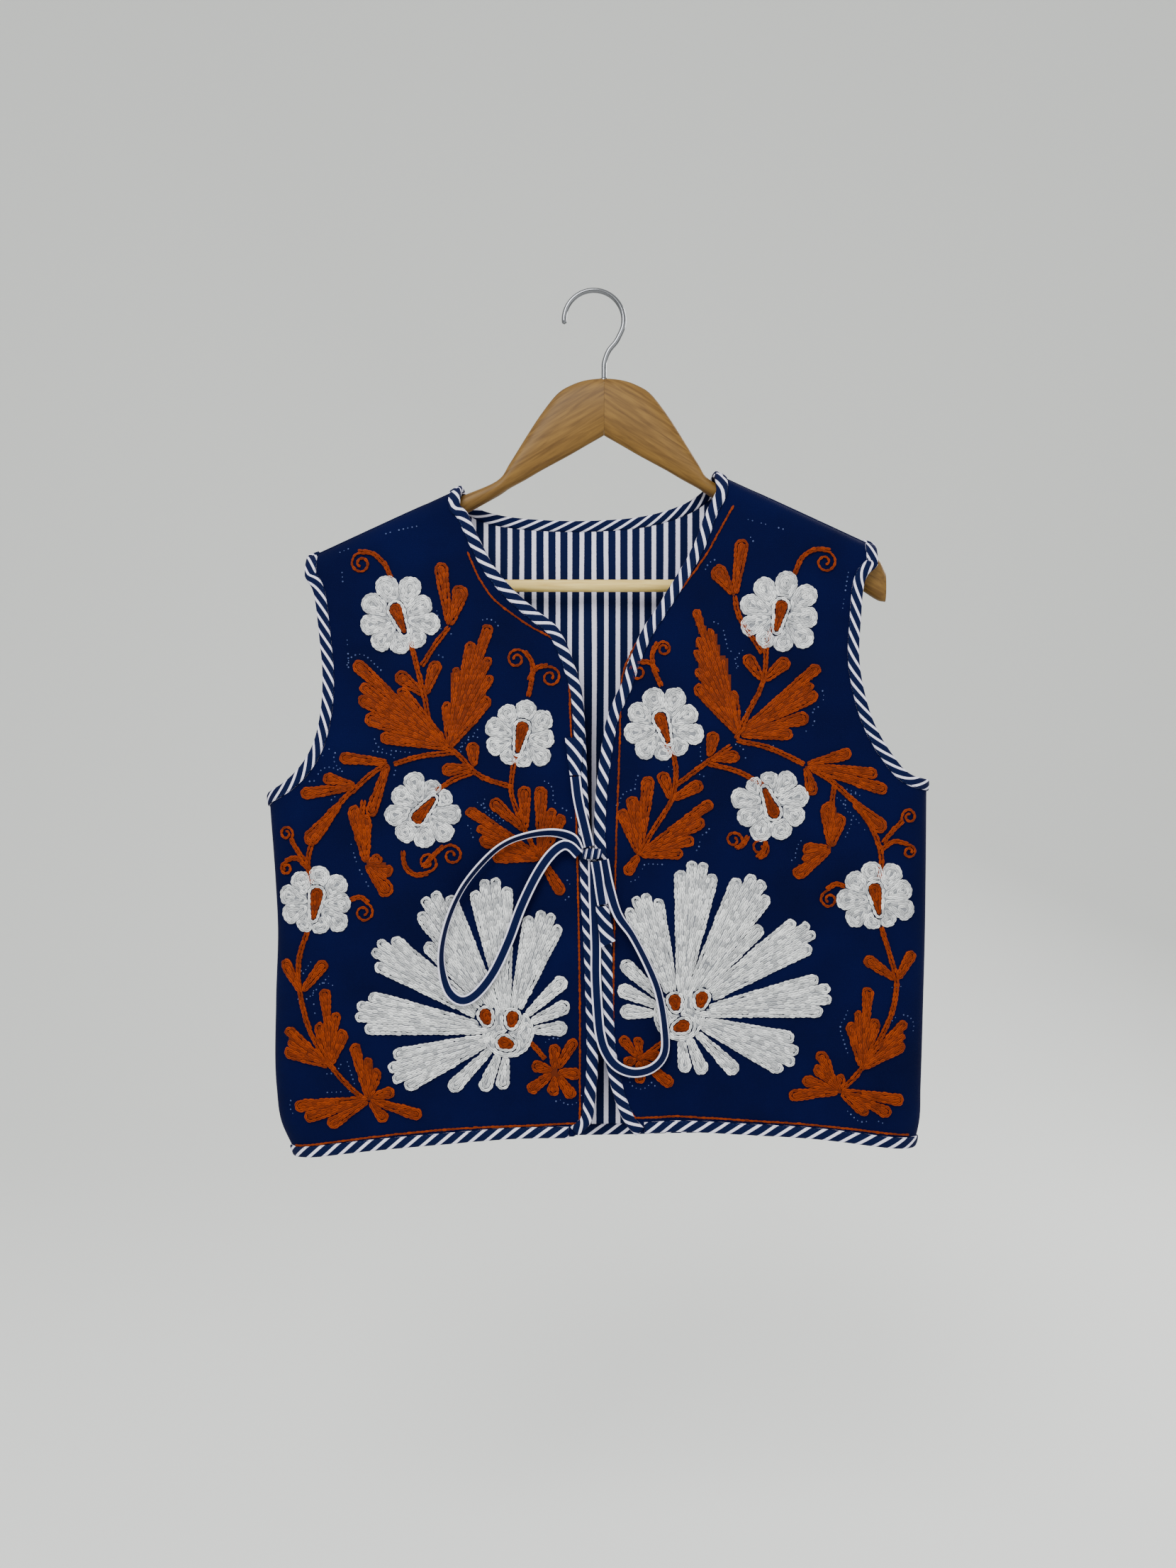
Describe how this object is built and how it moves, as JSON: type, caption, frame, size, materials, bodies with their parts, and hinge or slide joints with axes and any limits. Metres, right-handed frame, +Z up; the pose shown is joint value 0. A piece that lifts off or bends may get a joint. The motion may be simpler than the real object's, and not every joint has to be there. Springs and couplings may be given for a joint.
{
  "type": "embroidered waistcoat on a hanger",
  "caption": "Sleeveless navy cotton waistcoat with striped binding, knotted ribbon ties and raised chain-stitch flowers and leaves, hanging open at the front on a wooden hanger.",
  "frame": {"origin": "inside top of the hanger's hook, where it bears on a rail or peg", "axes": "+X is across the garment to the right as seen from the front, +Y is away from the viewer so that the front faces -Y, +Z is up"},
  "size_m": [0.5229, 0.0527, 0.685],
  "materials": {
    "navy_cotton": "matt plain-woven navy cotton",
    "striped_cotton": "matt cotton striped blue and lilac-white, cut on the bias for bindings and ties",
    "white_yarn": "glossy white embroidery thread in chain stitch",
    "rust_yarn": "rust-brown embroidery thread in chain stitch",
    "hanger_wood": "lacquered mid-brown wood",
    "bar_wood": "lacquered pale wood",
    "chrome_wire": "polished chrome-plated wire"
  },
  "bodies": {
    "root": {"front_left": "navy_cotton", "front_right": "navy_cotton", "back": "navy_cotton", "back_lining": "striped_cotton", "hanger_arm_left": "hanger_wood", "hanger_arm_right": "hanger_wood", "hanger_bar": "bar_wood", "hanger_hook": "chrome_wire", "binding_front_left": "striped_cotton", "binding_front_right": "striped_cotton", "binding_hem_left": "striped_cotton", "binding_hem_right": "striped_cotton", "binding_hem_back": "striped_cotton", "binding_neck_back": "striped_cotton", "binding_armhole_left": "striped_cotton", "binding_armhole_right": "striped_cotton", "tie_run_left": "striped_cotton", "tie_loop_left": "striped_cotton", "tie_loop_right": "striped_cotton", "tie_tail": "striped_cotton", "tie_knot": "striped_cotton", "tie_end_left": "striped_cotton", "tie_end_tail": "striped_cotton", "flower_left_1": "white_yarn", "flower_left_2": "white_yarn", "flower_left_3": "white_yarn", "flower_left_4": "white_yarn", "flower_right_1": "white_yarn", "flower_right_2": "white_yarn", "flower_right_3": "white_yarn", "flower_right_4": "white_yarn", "palmette_left": "white_yarn", "palmette_right": "white_yarn", "leaf_left_1": "rust_yarn", "leaf_left_2": "rust_yarn", "leaf_left_3": "rust_yarn", "leaf_left_4": "rust_yarn", "leaf_left_5": "rust_yarn", "leaf_left_6": "rust_yarn", "leaf_left_7": "rust_yarn", "leaf_left_8": "rust_yarn", "leaf_right_1": "rust_yarn", "leaf_right_2": "rust_yarn", "leaf_right_3": "rust_yarn", "leaf_right_4": "rust_yarn", "leaf_right_5": "rust_yarn", "leaf_right_6": "rust_yarn", "leaf_right_7": "rust_yarn", "star_left": "rust_yarn", "star_right": "rust_yarn"}
  },
  "joints": []
}
